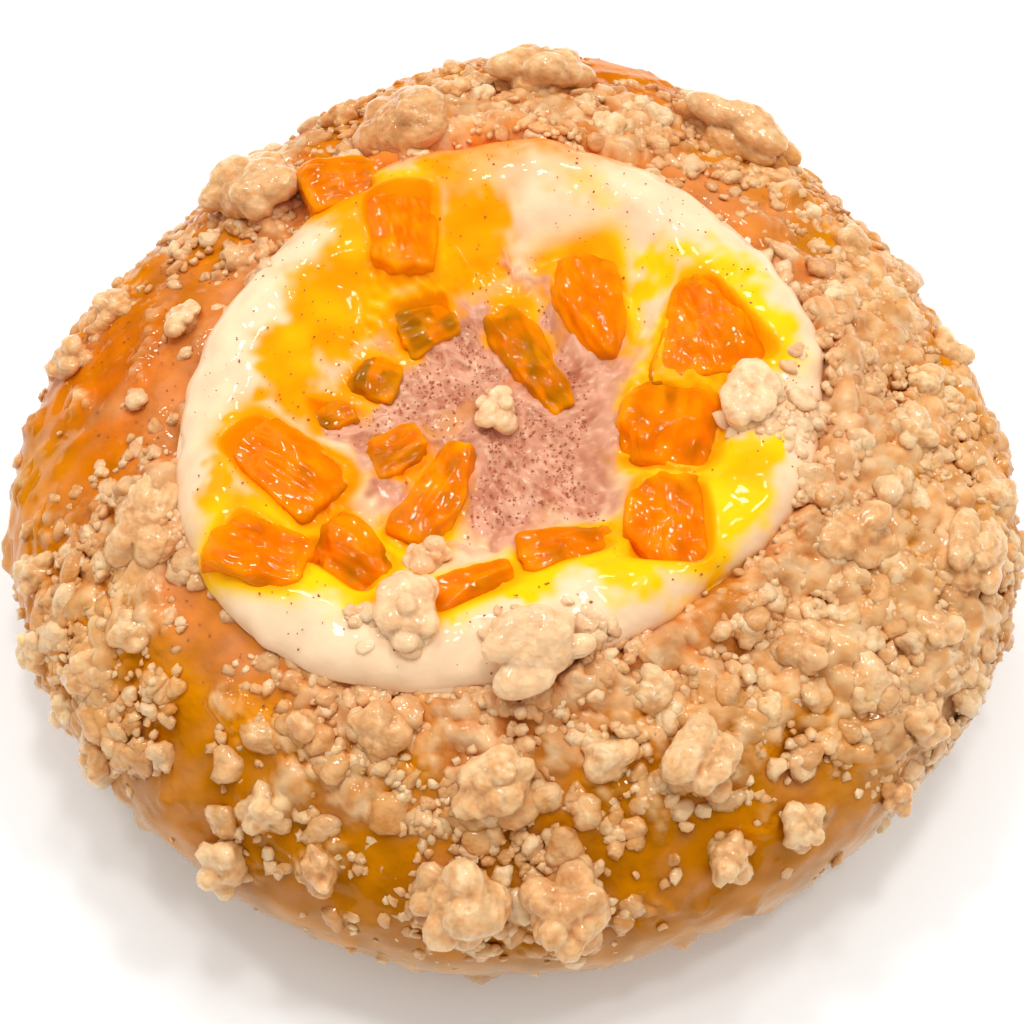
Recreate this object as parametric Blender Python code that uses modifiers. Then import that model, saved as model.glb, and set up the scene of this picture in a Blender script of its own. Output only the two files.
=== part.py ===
"""Round danish pastry: a soft yeast bun, a ring of cream in its well, fruit chunks and butter crumble.

Metres, +Z up. The origin is the middle of the flat base, and the side nearest the viewer is -Y.
"""
import math
import random

import bmesh
import bpy
from mathutils import Euler, Matrix, Vector
from mathutils.bvhtree import BVHTree

MM = 0.001

# Bun: an even turned form, which then swells in lobes round its rim
BUN_RADIUS = 53.8 * MM
WIDEST_LEVEL = 13 * MM
CROWN_LEVEL = 32 * MM
DOME_POWER = 2.4
FOOT_SHARE = 0.83
# Lobes: how many go round, how far they swell, and the direction of the first in degrees
BUN_LOBES = ((1, 1.0 * MM, -76), (2, 1.3 * MM, 80), (3, 1.9 * MM, -36), (4, 1.1 * MM, -6))
RING_LOBES = ((2, 2.0 * MM, 47), (3, 1.1 * MM, 228))
BUN_STEPS = 48

# Well pressed into the dome, and the cream that fills it
WELL_CENTRE = Vector((-1.6 * MM, -1.7 * MM))
WELL_FLOOR = 20.5 * MM
WELL_FLOOR_RADIUS = 25 * MM
LIP_RADIUS = 31 * MM
BEAD_LINE_RADIUS = 27.8 * MM
BEAD_HALF_WIDTH = 4.8 * MM
BEAD_TOP = 33.4 * MM
BEAD_RISE = 3.6 * MM
POOL_LEVEL = 28.2 * MM
POOL_RADIUS = 21.6 * MM
GAP = 0.3 * MM

# Fruit chunks: x, y, length, width and thickness in mm, turn and tilt in degrees, taper, level of the top in mm
FRUIT_CHUNKS = (
    (-19.0, 25.2, 8.2, 6.6, 5.0, 20, 6, 0.10, 33.4),
    (-12.0, 18.4, 11.4, 7.4, 6.6, 96, 0, -0.08, 33.2),
    (8.3, 10.4, 13.4, 7.0, 5.8, -77, 4, 0.16, 31.0),
    (20.0, 6.2, 12.4, 9.2, 6.4, 97, -6, 0.60, 33.4),
    (15.6, -5.4, 10.0, 10.4, 6.4, 80, 6, 0.10, 32.4),
    (1.8, 4.0, 14.6, 5.0, 5.0, -63, 0, 0.28, 29.8),
    (-9.1, 8.2, 6.4, 5.4, 4.6, 25, 8, 0.20, 29.9),
    (-14.1, 1.7, 5.2, 4.8, 4.4, 70, 0, 0.10, 29.5),
    (-18.4, -2.6, 4.2, 3.4, 4.0, 20, 0, 0.10, 29.3),
    (-22.4, -10.6, 12.0, 7.8, 6.6, 142, 8, 0.20, 32.4),
    (-24.2, -21.0, 9.6, 7.0, 5.4, -26, -4, 0.16, 34.2),
    (-15.6, -20.0, 8.4, 6.2, 5.2, -40, 0, 0.12, 31.2),
    (-11.8, -7.6, 6.0, 5.0, 4.6, 25, -6, 0.18, 30.0),
    (-7.4, -12.3, 12.4, 5.2, 5.4, 62, 8, 0.16, 30.3),
    (15.0, -16.9, 10.4, 8.0, 6.0, 86, -4, 0.12, 33.0),
    (5.2, -19.0, 9.4, 4.4, 5.4, 14, 0, 0.14, 31.6),
    (-4.2, -24.0, 8.8, 3.8, 5.4, 24, 4, 0.16, 32.6),
)
FRUIT_ROUNDING = 4.5
FRUIT_UNEVEN = 0.05
FINE_CUT_AREA = 50

# Big crumbles, each its own piece: x, y, length, width and height in mm, turn in degrees
BIG_CRUMBLES = (
    (-12.3, 34.6, 13.0, 11.0, 8.6, 85),
    (-28.6, 26.2, 11.6, 10.4, 7.6, 25),
    (3.2, 45.2, 13.0, 8.6, 7.4, 4),
    (25.4, 37.2, 16.0, 9.0, 7.2, -32),
    (-36.2, -15.6, 10.6, 7.6, 5.0, 78),
    (-4.7, -51.4, 9.4, 8.8, 6.8, 10),
    (4.5, -51.5, 9.0, 8.6, 6.8, 85),
    (2.2, -31.0, 10.6, 8.2, 4.6, 20),
    (-9.8, -28.0, 8.2, 6.6, 4.4, 100),
    (32.6, -17.1, 10.0, 8.0, 5.0, 20),
    (-1.5, -43.0, 8.8, 7.8, 5.4, 30),
    (24.0, -3.4, 8.0, 6.8, 3.8, 110),
    (17.6, -39.6, 8.2, 7.4, 6.0, 60),
    (45.4, -17.2, 9.6, 7.2, 5.4, 70),
    (-8.4, -19.9, 5.0, 4.8, 3.8, 10),
    (-1.6, -2.4, 5.4, 4.8, 3.4, 80),
)

FINE_LENGTH = 11.5

# Small crumbles baked on to the dough: x, y and size in mm
BAKED_CRUMBLES = (
    (-11.4, -37.4, 6.6), (27.4, -28.6, 6.4), (33.6, -31.0, 5.4), (12.6, -33.6, 6.0),
    (8.8, -39.6, 5.8), (-47.6, 7.4, 6.4), (-43.4, 13.8, 5.6), (-34.6, 8.6, 4.8),
    (-23.0, -43.8, 5.6), (-18.0, -48.4, 5.0), (-41.0, -29.4, 6.2), (-36.6, -26.8, 5.2),
    (-40.8, -36.0, 4.6), (47.0, 9.0, 5.4), (35.0, 3.4, 6.6), (34.6, 11.4, 5.2),
    (37.4, 21.0, 5.2), (10.6, 34.6, 5.4), (16.6, 33.6, 5.0), (13.4, 39.0, 4.6),
    (20.0, -47.2, 5.2), (27.0, -44.0, 5.2), (39.6, -33.6, 5.6), (37.6, -40.4, 4.4),
    (41.0, -25.0, 5.8), (-48.0, -17.6, 5.0), (-47.6, -24.6, 5.2), (48.8, -8.8, 6.2),
    (40.6, -4.6, 6.4), (43.4, 2.4, 5.2), (38.0, -11.2, 6.0), (-19.6, -37.4, 5.0),
    (-44.6, -31.6, 4.6), (-6.6, 42.4, 5.2), (-20.0, 40.6, 5.0), (24.0, -34.8, 5.0),
    (-27.6, -47.6, 6.4),
)

# Fine crumbles fill in between: how many, their sizes, and how thickly they lie by direction
FINE_CRUMBLES = 26
FINE_SIZES = (2.6 * MM, 4.0 * MM)
COARSE_SIZE = 4.7 * MM
FINE_BAND = (36 * MM, 51.5 * MM)
THICKEST_DIRECTION = -12
THINNEST_SHARE = 0.35
CRUMBLE_SUNK = 0.22
SEED = 11

DOUGH_COLOUR = (0.62, 0.27, 0.06, 1)
CREAM_COLOUR = (0.90, 0.74, 0.42, 1)
FRUIT_COLOUR = (0.93, 0.30, 0.01, 1)
CRUMBLE_COLOUR = (0.80, 0.56, 0.28, 1)


def clear_scene():
    for obj in list(bpy.data.objects):
        bpy.data.objects.remove(obj, do_unlink=True)


def collection(name, shown=True):
    made = bpy.data.collections.new(name)
    bpy.context.scene.collection.children.link(made)
    made.hide_render = not shown
    return made


def material(name, colour, roughness):
    made = bpy.data.materials.new(name)
    made.use_nodes = True
    shader = made.node_tree.nodes["Principled BSDF"]
    shader.inputs["Base Color"].default_value = colour
    shader.inputs["Roughness"].default_value = roughness
    shader.inputs["Metallic"].default_value = 0.0
    return made


def new_object(name, mesh, home):
    obj = bpy.data.objects.new(name, mesh)
    home.objects.link(obj)
    return obj


def from_bmesh(name, shape, home):
    mesh = bpy.data.meshes.new(name)
    shape.to_mesh(mesh)
    shape.free()
    return new_object(name, mesh, home)


def apply_modifiers(obj):
    bpy.context.view_layer.update()
    graph = bpy.context.evaluated_depsgraph_get()
    baked = bpy.data.meshes.new_from_object(obj.evaluated_get(graph))
    obj.modifiers.clear()
    obj.data = baked


def smoothstep(low, high, value):
    share = min(1.0, max(0.0, (value - low) / (high - low)))
    return share * share * (3 - 2 * share)


def lobes(table, angle):
    return sum(swell * math.cos(count * (angle - math.radians(first))) for count, swell, first in table)


def dome_level(share):
    """Level of the dome at this share of the way from its middle to the widest rim."""
    return WIDEST_LEVEL + (CROWN_LEVEL - WIDEST_LEVEL) * (1 - share**DOME_POWER) ** (1 / DOME_POWER)


def bun_profile():
    """Half section of the bun, from the middle of the well over the dome and down to the middle of the base."""
    lip = LIP_RADIUS / BUN_RADIUS
    lip_level = dome_level(lip)
    wall = [
        (
            WELL_FLOOR_RADIUS + (LIP_RADIUS - WELL_FLOOR_RADIUS) * math.sin(turn) ** 0.9,
            lip_level - (lip_level - WELL_FLOOR) * math.cos(turn) ** 0.8,
        )
        for turn in (math.radians(angle) for angle in (0, 30, 62))
    ]
    first = math.acos(lip ** (DOME_POWER / 2))
    dome = [BUN_RADIUS * math.cos(first * step / 7) ** (2 / DOME_POWER) for step in range(7, -1, -1)]
    side = [math.radians(angle) for angle in (22, 45, 66, 90)]
    foot = BUN_RADIUS * FOOT_SHARE
    return (
        [(0, WELL_FLOOR), (WELL_FLOOR_RADIUS * 0.6, WELL_FLOOR)]
        + wall
        + [(radius, dome_level(min(1.0, radius / BUN_RADIUS))) for radius in dome]
        + [(foot + (BUN_RADIUS - foot) * math.cos(a), WIDEST_LEVEL * (1 - math.sin(a))) for a in side]
        + [(foot * 0.5, 0), (0, 0)]
    )


def cream_profile():
    """Half section of the cream: the pool, the bead round it, and an underside that keeps clear of the well."""
    bead_level = BEAD_TOP - BEAD_RISE
    bead = [
        (BEAD_LINE_RADIUS + BEAD_HALF_WIDTH * math.sin(a), bead_level + BEAD_RISE * math.cos(a))
        for a in (math.radians(angle) for angle in (-70, -42, -14, 14, 40, 64, 86))
    ]
    pool = [(0, POOL_LEVEL), (POOL_RADIUS * 0.42, POOL_LEVEL), (POOL_RADIUS * 0.82, POOL_LEVEL + 0.2 * MM)]
    under = [
        (radius - 0.8 * GAP if level < CROWN_LEVEL else radius, level + GAP)
        for radius, level in bun_profile()[1:6]
    ]
    edge = LIP_RADIUS + 0.9 * MM
    lip = (edge, dome_level(edge / BUN_RADIUS) + GAP)
    return pool + bead + [lip] + under[::-1] + [(0, WELL_FLOOR + GAP)]


def settled(point):
    """Where a point of the even form lies on the real one: the rim swells in lobes, and the well is off centre."""
    radius = math.hypot(point.x, point.y)
    angle = math.atan2(point.y, point.x)
    outer = 1.0 if point.z < WIDEST_LEVEL * 1.001 else smoothstep(LIP_RADIUS * 0.9, BUN_RADIUS, radius)
    swell = outer * lobes(BUN_LOBES, angle) / BUN_RADIUS + (1 - outer) * lobes(RING_LOBES, angle) / LIP_RADIUS
    return Vector((
        point.x * (1 + swell) + (1 - outer) * WELL_CENTRE.x,
        point.y * (1 + swell) + (1 - outer) * WELL_CENTRE.y,
        point.z,
    ))


def turned(name, profile, home):
    """The profile turned about +Z by a Screw modifier, and then settled."""
    mesh = bpy.data.meshes.new(name)
    mesh.from_pydata([(r, 0, z) for r, z in profile], [(i, i + 1) for i in range(len(profile) - 1)], [])
    obj = new_object(name, mesh, home)
    screw = obj.modifiers.new("Turn", "SCREW")
    screw.steps = screw.render_steps = BUN_STEPS
    screw.use_merge_vertices = True
    screw.merge_threshold = 0.00005
    apply_modifiers(obj)
    for vertex in obj.data.vertices:
        vertex.co = settled(vertex.co)
    return obj


def swollen(obj, name, by, home):
    """A copy of the object, its faces moved out along their normals: the room that its neighbours keep clear of."""
    copy = new_object(name, obj.data.copy(), home)
    copy.matrix_world = obj.matrix_world
    offset = copy.modifiers.new("Clearance", "DISPLACE")
    offset.strength = by
    offset.mid_level = 0
    apply_modifiers(copy)
    return copy


def hull_room(obj, name, by, home):
    """The object's convex hull, moved out along its normals: the room round a piece that is nearly convex."""
    shape = bmesh.new()
    shape.from_mesh(obj.data)
    hull = bmesh.ops.convex_hull(shape, input=shape.verts)
    inner = {item for item in hull["geom_interior"] if isinstance(item, bmesh.types.BMVert)}
    bmesh.ops.delete(shape, geom=list(inner), context="VERTS")
    skin = set(hull["geom"])
    bmesh.ops.delete(shape, geom=[face for face in shape.faces if face not in skin], context="FACES")
    bmesh.ops.recalc_face_normals(shape, faces=shape.faces)
    shape.normal_update()
    moved = [vertex.co + vertex.normal * by for vertex in shape.verts]
    for vertex, place in zip(shape.verts, moved):
        vertex.co = place
    room = from_bmesh(name, shape, home)
    room.matrix_world = obj.matrix_world
    return room


def boolean(obj, operation, others, solver="EXACT"):
    cut = obj.modifiers.new("Join", "BOOLEAN")
    cut.operation = operation
    cut.solver = solver
    cut.operand_type = "COLLECTION"
    cut.collection = others
    apply_modifiers(obj)


def surface_point(tree, x, y):
    """(point, normal) of the highest surface at x, y, or of the nearest one where x, y is beyond the rim."""
    point, normal, _, _ = tree.ray_cast(Vector((x, y, 0.1)), Vector((0, 0, -1)))
    if point is None:
        point, normal, _, _ = tree.find_nearest(Vector((x, y, WIDEST_LEVEL)))
    return point, normal


def tree_of(obj):
    shape = bmesh.new()
    shape.from_mesh(obj.data)
    shape.transform(obj.matrix_world)
    tree = BVHTree.FromBMesh(shape)
    shape.free()
    return tree


def grain_cluster(rng):
    """Centres and radii of the round grains that make one crumble, in a ball of about unit radius."""
    grains = [(Vector((0, 0, 0)), 0.66)]
    for _ in range(9):
        way = Vector((rng.uniform(-1, 1), rng.uniform(-1, 1), rng.uniform(-0.7, 1))).normalized()
        grains.append((way * rng.uniform(0.42, 0.62), rng.uniform(0.30, 0.46)))
    return grains


def reach(way, grains):
    """How far the cluster's skin lies from its middle in this direction: the farthest of the grains' far sides."""
    farthest = 0.0
    for centre, radius in grains:
        along = way.dot(centre)
        inside = radius * radius - centre.length_squared + along * along
        if inside > 0:
            farthest = max(farthest, along + math.sqrt(inside))
    return farthest


def crumble(name, size, rng, detail, home):
    """A crumb of streusel: an icosphere drawn out to a cluster of grains, then scaled to its size."""
    shape = bmesh.new()
    bmesh.ops.create_icosphere(shape, subdivisions=detail, radius=1)
    grains = grain_cluster(rng)
    for vertex in shape.verts:
        way = vertex.co.normalized()
        vertex.co = way * reach(way, grains)
    for axis in range(3):
        low = min(v.co[axis] for v in shape.verts)
        high = max(v.co[axis] for v in shape.verts)
        for vertex in shape.verts:
            vertex.co[axis] = ((vertex.co[axis] - low) / (high - low) - 0.5) * size[axis]
    return from_bmesh(name, shape, home)


def bed(obj, tree, x, y, turn, sunk):
    """Lays the object on the surface, turned about the normal there and sunk by this distance."""
    point, normal = surface_point(tree, x, y)
    upright = normal.lerp(Vector((0, 0, 1)), 0.25).normalized()
    stand = upright.to_track_quat("Z", "Y").to_matrix().to_4x4()
    stand = stand @ Matrix.Rotation(-stand.to_euler().z + turn, 4, "Z")
    obj.matrix_world = Matrix.Translation(point + upright * sunk) @ stand


def big_crumble(index, row, tree, home):
    x, y, length, width, height, turn = row
    rng = random.Random(SEED * 100 + index)
    size = (length * MM, width * MM, height * MM)
    obj = crumble(f"crumble_{index:02d}", size, rng, 3 if length > FINE_LENGTH else 2, home)
    bed(obj, tree, x * MM, y * MM, math.radians(turn), height * MM * CRUMBLE_SUNK)
    return obj


def fruit_chunk(index, row, home):
    """A diced chunk: a cube with its corners drawn in, tapered and a little uneven, pressed into the cream."""
    x, y, length, width, thick, turn, tilt, taper, top = row
    rng = random.Random(SEED * 1000 + index)
    shape = bmesh.new()
    bmesh.ops.create_cube(shape, size=2)
    cuts = 2 if length * width > FINE_CUT_AREA else 1
    bmesh.ops.subdivide_edges(shape, edges=shape.edges, cuts=cuts, use_grid_fill=True)
    for vertex in shape.verts:
        power = sum(abs(part) ** FRUIT_ROUNDING for part in vertex.co) ** (1 / FRUIT_ROUNDING)
        rounded = vertex.co / power * (1 + rng.uniform(-FRUIT_UNEVEN, FRUIT_UNEVEN))
        vertex.co = Vector((
            rounded.x * length * MM / 2,
            rounded.y * width * MM / 2 * (1 - taper * rounded.x),
            rounded.z * thick * MM / 2,
        ))
    obj = from_bmesh(f"fruit_{index:02d}", shape, home)
    obj.location = Vector((x, y, top - thick / 2)) * MM
    obj.rotation_euler = Euler((math.radians(tilt), 0, math.radians(turn)))
    bpy.context.view_layer.update()
    return obj


def crumble_share(angle):
    """How thickly crumbs lie in this direction: most on the right, least opposite."""
    toward = 0.5 + 0.5 * math.cos(angle - math.radians(THICKEST_DIRECTION))
    return THINNEST_SHARE + (1 - THINNEST_SHARE) * toward


def baked_rows(rng):
    """Places and sizes of the crumbs on the dough: the chosen ones, then the fine ones at random."""
    rows = [(x * MM, y * MM, size * MM) for x, y, size in BAKED_CRUMBLES]
    while len(rows) < len(BAKED_CRUMBLES) + FINE_CRUMBLES:
        angle = rng.uniform(-math.pi, math.pi)
        radius = rng.uniform(*FINE_BAND)
        if rng.random() < crumble_share(angle):
            rows.append((radius * math.cos(angle), radius * math.sin(angle), rng.uniform(*FINE_SIZES)))
    return rows


def baked_crumbles(dough_tree, neighbours, home):
    """Crumbs to fuse with the dough, leaving out any that would touch a neighbour or an earlier crumb."""
    rng = random.Random(SEED)
    placed = []
    for number, (x, y, size) in enumerate(baked_rows(rng)):
        detail = 2 if size > COARSE_SIZE else 1
        obj = crumble(f"baked_{number}", (size, size * 0.86, size * 0.72), rng, detail, home)
        bed(obj, dough_tree, x, y, rng.uniform(0, math.tau), size * 0.1)
        tree = tree_of(obj)
        crowded = any((obj.location - spot).length < 0.42 * (size + other) for spot, other in placed)
        if crowded or any(tree.overlap(neighbour) for neighbour in neighbours):
            bpy.data.objects.remove(obj)
        else:
            placed.append((obj.location.copy(), size))


def finish(obj, look):
    obj.data.materials.clear()
    obj.data.materials.append(look)
    obj.data.shade_smooth()
    obj.data.set_sharp_from_angle(angle=math.radians(50))


def main():
    clear_scene()
    pastry = collection("danish_pastry")
    dough = material("glazed_dough", DOUGH_COLOUR, 0.35)
    custard = material("cream", CREAM_COLOUR, 0.4)
    flesh = material("fruit", FRUIT_COLOUR, 0.3)
    streusel = material("crumble", CRUMBLE_COLOUR, 0.8)

    bun = turned("bun", bun_profile(), pastry)
    cream = turned("cream", cream_profile(), pastry)
    dough_tree = tree_of(bun)

    fruits = [fruit_chunk(i, row, pastry) for i, row in enumerate(FRUIT_CHUNKS, 1)]
    pockets = collection("fruit_room", shown=False)
    for fruit in fruits:
        hull_room(fruit, f"room_{fruit.name}", GAP * 1.2, pockets)

    room = collection("piece_room", shown=False)
    swollen(bun, "room_bun", GAP, room)
    swollen(cream, "room_cream", GAP, room)
    for fruit in fruits:
        hull_room(fruit, f"wide_{fruit.name}", GAP * 1.2, room)
    both = bmesh.new()
    for part in (bun, cream):
        both.from_mesh(part.data)
    top_tree = BVHTree.FromBMesh(both)
    both.free()
    crumbles = [big_crumble(i, row, top_tree, pastry) for i, row in enumerate(BIG_CRUMBLES, 1)]
    for piece in crumbles:
        boolean(piece, "DIFFERENCE", room)

    wide = collection("crumble_room", shown=False)
    neighbours = [tree_of(swollen(p, f"clear_{p.name}", GAP * 1.3, wide)) for p in crumbles + fruits]
    neighbours.append(tree_of(swollen(cream, "clear_cream", GAP * 1.3, wide)))
    baked = collection("baked_on", shown=False)
    baked_crumbles(dough_tree, neighbours, baked)
    boolean(bun, "UNION", baked)
    boolean(cream, "DIFFERENCE", pockets)
    boolean(bun, "DIFFERENCE", pockets)

    for helpers in (pockets, room, wide, baked):
        for obj in list(helpers.objects):
            bpy.data.objects.remove(obj, do_unlink=True)
        bpy.data.collections.remove(helpers)
    finish(bun, dough)
    finish(cream, custard)
    for piece in fruits:
        finish(piece, flesh)
    for piece in crumbles:
        finish(piece, streusel)


main()
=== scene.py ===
import itertools
import math
import random

import bpy
import numpy as np
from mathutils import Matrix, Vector


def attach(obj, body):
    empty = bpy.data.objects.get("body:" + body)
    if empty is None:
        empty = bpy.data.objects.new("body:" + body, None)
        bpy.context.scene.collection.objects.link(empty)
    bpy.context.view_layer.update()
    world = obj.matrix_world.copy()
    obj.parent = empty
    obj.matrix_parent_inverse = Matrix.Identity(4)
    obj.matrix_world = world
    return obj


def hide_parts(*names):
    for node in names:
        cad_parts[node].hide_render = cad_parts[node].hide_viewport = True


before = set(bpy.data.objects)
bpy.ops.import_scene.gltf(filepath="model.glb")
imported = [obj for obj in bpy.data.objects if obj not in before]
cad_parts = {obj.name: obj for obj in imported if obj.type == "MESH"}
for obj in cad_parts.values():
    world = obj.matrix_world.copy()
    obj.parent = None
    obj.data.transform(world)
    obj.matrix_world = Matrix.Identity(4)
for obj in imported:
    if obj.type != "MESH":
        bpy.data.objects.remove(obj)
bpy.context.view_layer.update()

# All shapes are worked out in millimetres and turned to metres when a mesh is made
MM = 0.001

# Bun
BUN_RADIUS = 53.8
WIDEST_LEVEL = 13.0
CROWN_LEVEL = 32.0
DOME_POWER = 2.4
FOOT_SHARE = 0.83
BUN_LOBES = ((1, 1.0, -76), (2, 1.3, 80), (3, 1.9, -36), (4, 1.1, -6))
RING_LOBES = ((2, 2.0, 47), (3, 1.1, 228))

# Well and cream
WELL_CENTRE = (-1.6, -1.7)
WELL_FLOOR = 20.5
WELL_FLOOR_RADIUS = 25.0
LIP_RADIUS = 31.0
BEAD_LINE_RADIUS = 27.8
BEAD_HALF_WIDTH = 4.8
BEAD_TOP = 33.4
BEAD_RISE = 3.6
POOL_LEVEL = 28.2
GAP = 0.3

# Fruit chunks: x, y, length, width, thickness, turn and tilt in degrees, taper, top level, ripeness
FRUIT_CHUNKS = (
    (-19.0, 25.2, 8.2, 6.6, 5.0, 20, 6, 0.10, 33.4, 0.7),
    (-12.0, 18.4, 11.4, 7.4, 6.6, 96, 0, -0.08, 33.2, 1.0),
    (8.3, 10.4, 13.4, 7.0, 5.8, -77, 4, 0.16, 31.0, 0.8),
    (20.0, 6.2, 12.4, 9.2, 6.4, 97, -6, 0.60, 33.4, 0.9),
    (15.6, -5.4, 10.0, 10.4, 6.4, 80, 6, 0.10, 32.4, 0.8),
    (1.8, 4.0, 14.6, 5.0, 5.0, -63, 0, 0.28, 29.8, 0.25),
    (-9.1, 8.2, 6.4, 5.4, 4.6, 25, 8, 0.20, 29.9, 0.1),
    (-14.1, 1.7, 5.2, 4.8, 4.4, 70, 0, 0.10, 29.5, 0.1),
    (-18.4, -2.6, 4.2, 3.4, 4.0, 20, 0, 0.10, 29.3, 0.3),
    (-22.4, -10.6, 12.0, 7.8, 6.6, 142, 8, 0.20, 32.4, 0.9),
    (-24.2, -21.0, 9.6, 7.0, 5.4, -26, -4, 0.16, 34.2, 0.9),
    (-15.6, -20.0, 8.4, 6.2, 5.2, -40, 0, 0.12, 31.2, 0.45),
    (-11.8, -7.6, 6.0, 5.0, 4.6, 25, -6, 0.18, 30.0, 0.5),
    (-7.4, -12.3, 12.4, 5.2, 5.4, 62, 8, 0.16, 30.3, 0.6),
    (15.0, -16.9, 10.4, 8.0, 6.0, 86, -4, 0.12, 33.0, 0.85),
    (5.2, -19.0, 9.4, 4.4, 5.4, 14, 0, 0.14, 31.6, 0.6),
    (-4.2, -24.0, 8.8, 3.8, 5.4, 24, 4, 0.16, 32.6, 0.7),
)

# Big crumbles: x, y, length, width and height, turn in degrees, tone from creamy to toasted
BIG_CRUMBLES = (
    (-12.3, 34.6, 13.0, 11.0, 8.6, 85, 0.85),
    (-28.6, 26.2, 11.6, 10.4, 7.6, 25, 0.65),
    (3.2, 45.2, 13.0, 8.6, 7.4, 4, 0.6),
    (25.4, 37.2, 16.0, 9.0, 7.2, -32, 0.65),
    (-36.2, -15.6, 10.6, 7.6, 5.0, 78, 0.65),
    (-4.7, -51.4, 9.4, 8.8, 6.8, 10, 0.5),
    (4.5, -51.5, 9.0, 8.6, 6.8, 85, 0.7),
    (2.2, -31.0, 10.6, 8.2, 4.6, 20, 0.45),
    (-9.8, -28.0, 8.2, 6.6, 4.4, 100, 0.5),
    (32.6, -17.1, 10.0, 8.0, 5.0, 20, 0.75),
    (-1.5, -43.0, 8.8, 7.8, 5.4, 30, 0.55),
    (24.0, -3.4, 8.0, 6.8, 3.8, 110, 0.3),
    (17.6, -39.6, 8.2, 7.4, 6.0, 60, 0.5),
    (45.4, -17.2, 9.6, 7.2, 5.4, 70, 0.6),
    (-8.4, -19.9, 5.0, 4.8, 3.8, 10, 0.6),
    (-1.6, -2.4, 5.4, 4.8, 3.4, 80, 0.4),
)

# Small crumbles baked on to the dough: x, y and size
BAKED_CRUMBLES = (
    (-11.4, -37.4, 6.6), (27.4, -28.6, 6.4), (33.6, -31.0, 5.4), (12.6, -33.6, 6.0),
    (8.8, -39.6, 5.8), (-47.6, 7.4, 6.4), (-43.4, 13.8, 5.6), (-34.6, 8.6, 4.8),
    (-23.0, -43.8, 5.6), (-18.0, -48.4, 5.0), (-41.0, -29.4, 6.2), (-36.6, -26.8, 5.2),
    (-40.8, -36.0, 4.6), (47.0, 9.0, 5.4), (35.0, 3.4, 6.6), (34.6, 11.4, 5.2),
    (37.4, 21.0, 5.2), (10.6, 34.6, 5.4), (16.6, 33.6, 5.0), (13.4, 39.0, 4.6),
    (20.0, -47.2, 5.2), (27.0, -44.0, 5.2), (39.6, -33.6, 5.6), (37.6, -40.4, 4.4),
    (41.0, -25.0, 5.8), (-48.0, -17.6, 5.0), (-47.6, -24.6, 5.2), (48.8, -8.8, 6.2),
    (40.6, -4.6, 6.4), (43.4, 2.4, 5.2), (38.0, -11.2, 6.0), (-19.6, -37.4, 5.0),
    (-44.6, -31.6, 4.6), (-6.6, 42.4, 5.2), (-20.0, 40.6, 5.0), (24.0, -34.8, 5.0),
    (-27.6, -47.6, 6.4),
)
CRUMBLE_SUNK = 0.22
BAKED_SUNK = 0.1

# Crumbs on the dough: name, how many, least and most size, rows and points around of each, seed, rise
CRUMB_SIZES = (
    ("coarse_crumbs", 260, 2.2, 4.2, 9, 14, 100, -0.02),
    ("medium_crumbs", 1340, 1.4, 2.7, 6, 11, 200, -0.04),
    ("fine_crumbs", 4400, 0.7, 1.5, 3, 7, 300, -0.02),
)

# How flat a loose crumb lies, and places tried for crumbs on the dough, for crumbs on the ring and for spice
CRUMB_FLATNESS = 0.62
DOUGH_TRIES, RING_TRIES, SPICE_TRIES = 30000, 15000, 38000
SEED = 11

# Where the fruit's juice has run over the cream: x, y, reach and strength
JUICE_RUNS = (
    (-4.7, 20.7, 4.2, 1.0), (-7.8, 15.3, 3.6, 1.0), (-3.0, 15.9, 3.2, 0.9), (-8.8, 12.6, 2.6, 0.8),
    (-18.3, 22.1, 2.8, 1.0), (-17.0, 16.6, 3.2, 1.0), (-18.3, 10.7, 4.6, 1.0), (-21.2, 6.8, 3.4, 1.0),
    (-15.0, 9.4, 3.4, 1.0), (-22.6, 2.4, 2.8, 1.0), (-21.8, -1.0, 2.4, 0.9), (-24.7, -1.0, 1.8, 0.8),
    (-27.0, -7.6, 2.0, 0.9), (-28.4, -12.6, 2.0, 1.0), (-27.6, -16.5, 2.2, 1.0), (-28.6, -22.0, 1.8, 0.7),
    (-17.7, -21.4, 4.2, 1.0), (-14.5, -24.0, 3.2, 1.0), (-12.4, -19.4, 3.0, 0.7), (-16.0, -16.5, 3.0, 0.9),
    (2.6, -22.8, 2.6, 0.9), (0.7, -25.0, 2.2, 0.8), (8.3, -22.3, 2.8, 1.0), (12.1, -24.0, 2.6, 0.9),
    (-5.5, -27.0, 2.2, 0.9), (22.6, -12.0, 3.8, 1.0), (21.2, -16.5, 3.4, 1.0), (25.0, -9.7, 2.0, 0.8),
    (19.0, -21.4, 2.2, 0.8), (12.6, -10.4, 1.6, 0.7), (21.8, 12.4, 2.8, 0.9), (25.0, 7.6, 3.0, 1.0),
    (27.2, 4.4, 2.2, 0.9), (18.2, 15.2, 2.2, 0.7), (13.6, 10.6, 2.2, 0.9), (12.2, 5.6, 1.8, 0.9),
    (14.2, 14.4, 2.2, 0.8), (6.2, 24.6, 2.8, 0.45), (9.8, 22.0, 2.6, 0.4), (3.4, 16.6, 2.0, 0.5),
    (-2.0, 27.5, 3.2, 0.4), (-8.0, 27.0, 3.0, 0.75), (28.4, -5.0, 1.6, 0.35), (17.0, -26.4, 2.2, 0.5),
    (18.0, 0.2, 3.0, 1.0), (14.4, 1.2, 2.2, 0.9), (16.5, -11.2, 2.6, 0.9), (-23.6, -15.8, 2.6, 1.0),
    (-19.6, -20.4, 2.2, 1.0), (10.0, -18.2, 2.0, 0.8), (-9.8, -10.2, 2.0, 0.8), (-15.6, -1.2, 2.0, 0.7),
)

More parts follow.
